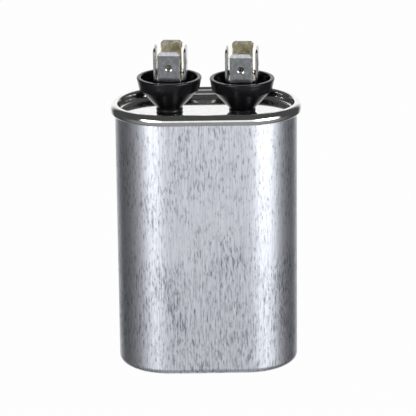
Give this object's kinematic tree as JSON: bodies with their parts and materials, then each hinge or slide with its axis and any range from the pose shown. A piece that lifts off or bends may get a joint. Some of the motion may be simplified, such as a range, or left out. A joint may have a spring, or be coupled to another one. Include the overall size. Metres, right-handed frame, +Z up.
{
  "type": "motor run capacitor",
  "caption": "Oval metal can with a double-seamed cover and two black terminal cups, each with a four-blade quick-connect terminal.",
  "frame": {"origin": "middle of the can's flat base, on the surface it stands on", "axes": "+Z up to the terminals, +X along the long side of the oval to the right terminal, -Y to the front"},
  "size_m": [0.055, 0.0334, 0.0946],
  "materials": {
    "can_aluminium": "drawn aluminium, fine vertical draw marks",
    "tinplate": "bright tinplate",
    "moulded_black": "semi-gloss black phenolic moulding",
    "tinned_brass": "tinned, blanked and coined",
    "rivet_brass": "tinned",
    "gasket_rubber": "smooth",
    "sealing_compound": "matt",
    "insulator_board": "matt",
    "insulator_natural": "matt",
    "metallised_film": "silvery film edges",
    "sprayed_zinc": "rough sprayed metal",
    "wrap_tape": "clear yellow tape",
    "tinned_strip": "tinned copper strip",
    "sleeve_red": "satin sleeve"
  },
  "bodies": {
    "root": {"can": "can_aluminium", "cover": "tinplate", "seam_compound": "sealing_compound", "terminal_cup_left": "moulded_black", "terminal_cup_right": "moulded_black", "quad_tab_left": "tinned_brass", "quad_tab_right": "tinned_brass", "terminal_rivet_left": "rivet_brass", "terminal_rivet_right": "rivet_brass", "cup_gasket_left": "gasket_rubber", "cup_gasket_right": "gasket_rubber", "inner_insulator_left": "insulator_board", "inner_insulator_right": "insulator_board", "solder_lug_left": "tinned_strip", "solder_lug_right": "tinned_strip", "interrupter_plate": "insulator_natural", "base_insulator": "insulator_natural", "film_roll": "metallised_film", "winding_core": "insulator_natural", "upper_end_spray": "sprayed_zinc", "lower_end_spray": "sprayed_zinc", "roll_wrap": "wrap_tape", "lead_left": "tinned_strip", "lead_right": "tinned_strip", "lead_sleeve": "sleeve_red"}
  },
  "joints": []
}
